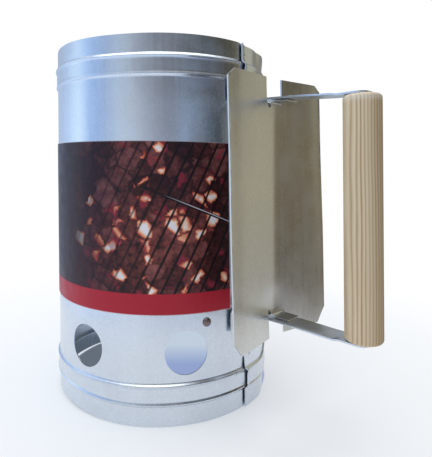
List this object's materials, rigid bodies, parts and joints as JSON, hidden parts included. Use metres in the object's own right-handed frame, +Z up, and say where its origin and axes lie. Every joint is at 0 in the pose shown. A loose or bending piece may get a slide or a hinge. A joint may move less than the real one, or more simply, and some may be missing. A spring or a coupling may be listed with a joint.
{
  "type": "chimney charcoal starter",
  "caption": "Open sheet-metal chimney for lighting charcoal, with air holes round its foot, a loose grate, a folded heat shield and an upright wooden grip held by flat straps.",
  "frame": {"origin": "under the middle of the object's box, on the plane the base rim stands on", "axes": "+X from the chimney to the grip, +Z up along the chimney's axis"},
  "size_m": [0.3003, 0.1914, 0.285],
  "materials": {
    "galvanised_body": "bright galvanised sheet with soft upright streaks",
    "galvanised_shield": "galvanised sheet, warmer and duller than the chimney",
    "galvanised_strap": "galvanised strip",
    "grate_steel": "plain steel sheet, dull",
    "peg_steel": "dark steel",
    "rivet_steel": "plain steel",
    "screw_zinc": "zinc plated",
    "pine_wood": "bare turned softwood with upright grain",
    "printed_paper": "coated printed paper"
  },
  "bodies": {
    "starter": {"body_shell": "galvanised_body", "grate_peg_1": "peg_steel", "grate_peg_2": "peg_steel", "grate_peg_3": "peg_steel", "upper_strap": "galvanised_strap", "lower_strap": "galvanised_strap", "upper_strap_rivet_1": "rivet_steel", "upper_strap_rivet_2": "rivet_steel", "lower_strap_rivet_1": "rivet_steel", "lower_strap_rivet_2": "rivet_steel", "heat_shield": "galvanised_shield", "paper_label": "printed_paper"},
    "grip": {"handle_grip": "pine_wood", "upper_grip_screw": "screw_zinc", "lower_grip_screw": "screw_zinc"},
    "grate": {"charcoal_grate": "grate_steel"}
  },
  "joints": [
    {"name": "grip_turn", "type": "hinge", "parent": "starter", "child": "grip", "pos_m": [0.13885, 0, 0.1555], "axis": [0, 0, 1], "continuous": true},
    {"name": "grate_lift", "type": "slide", "parent": "starter", "child": "grate", "axis": [0, 0, 1], "range_m": [0, 0.225]}
  ]
}
